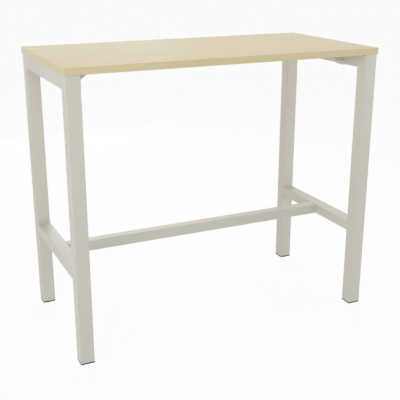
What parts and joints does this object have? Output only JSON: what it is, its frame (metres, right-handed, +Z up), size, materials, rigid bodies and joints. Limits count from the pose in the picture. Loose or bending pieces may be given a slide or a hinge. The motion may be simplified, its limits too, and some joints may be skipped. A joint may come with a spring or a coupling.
{
  "type": "standing meeting table",
  "caption": "Tall rectangular meeting table: a maple-faced board on square-tube end frames, with a footrest bar between low rails and levelling feet.",
  "frame": {"origin": "on the floor, under the middle of the table top", "axes": "+X along the long side of the top, +Y towards the rear, +Z up"},
  "size_m": [1.2, 0.6, 1.05],
  "materials": {
    "maple_board": "satin light maple melamine facing",
    "maple_edging": "satin maple edge band",
    "powder_coat": "fine satin warm light grey powder coat on steel",
    "grey_plastic": "matte, matched to the frame",
    "black_plastic": "matte black",
    "zinc_steel": "bright zinc plate"
  },
  "bodies": {
    "frame": {"tabletop_board": "maple_board", "front_edge_band": "maple_edging", "rear_edge_band": "maple_edging", "left_edge_band": "maple_edging", "right_edge_band": "maple_edging", "front_left_leg": "powder_coat", "rear_left_leg": "powder_coat", "front_right_leg": "powder_coat", "rear_right_leg": "powder_coat", "left_top_rail": "powder_coat", "right_top_rail": "powder_coat", "left_foot_rail": "powder_coat", "right_foot_rail": "powder_coat", "footrest_bar": "powder_coat", "left_bar_end_plate": "zinc_steel", "left_bar_bolt": "zinc_steel", "left_rail_plug": "grey_plastic", "right_bar_end_plate": "zinc_steel", "right_bar_bolt": "zinc_steel", "right_rail_plug": "grey_plastic", "front_left_top_bracket": "powder_coat", "front_left_bracket_screw_1": "zinc_steel", "front_left_bracket_screw_2": "zinc_steel", "front_left_foot_insert": "black_plastic", "front_left_glide_nut": "zinc_steel", "rear_left_top_bracket": "powder_coat", "rear_left_bracket_screw_1": "zinc_steel", "rear_left_bracket_screw_2": "zinc_steel", "rear_left_foot_insert": "black_plastic", "rear_left_glide_nut": "zinc_steel", "front_right_top_bracket": "powder_coat", "front_right_bracket_screw_1": "zinc_steel", "front_right_bracket_screw_2": "zinc_steel", "front_right_foot_insert": "black_plastic", "front_right_glide_nut": "zinc_steel", "rear_right_top_bracket": "powder_coat", "rear_right_bracket_screw_1": "zinc_steel", "rear_right_bracket_screw_2": "zinc_steel", "rear_right_foot_insert": "black_plastic", "rear_right_glide_nut": "zinc_steel"},
    "front_left_glide": {"front_left_glide_stem": "zinc_steel", "front_left_glide_pad": "black_plastic"},
    "rear_left_glide": {"rear_left_glide_stem": "zinc_steel", "rear_left_glide_pad": "black_plastic"},
    "front_right_glide": {"front_right_glide_stem": "zinc_steel", "front_right_glide_pad": "black_plastic"},
    "rear_right_glide": {"rear_right_glide_stem": "zinc_steel", "rear_right_glide_pad": "black_plastic"}
  },
  "joints": [
    {"name": "front_left_glide_screw", "type": "slide", "parent": "frame", "child": "front_left_glide", "axis": [0, 0, -1], "range_m": [0, 0.012]},
    {"name": "rear_left_glide_screw", "type": "slide", "parent": "frame", "child": "rear_left_glide", "axis": [0, 0, -1], "range_m": [0, 0.012]},
    {"name": "front_right_glide_screw", "type": "slide", "parent": "frame", "child": "front_right_glide", "axis": [0, 0, -1], "range_m": [0, 0.012]},
    {"name": "rear_right_glide_screw", "type": "slide", "parent": "frame", "child": "rear_right_glide", "axis": [0, 0, -1], "range_m": [0, 0.012]}
  ]
}
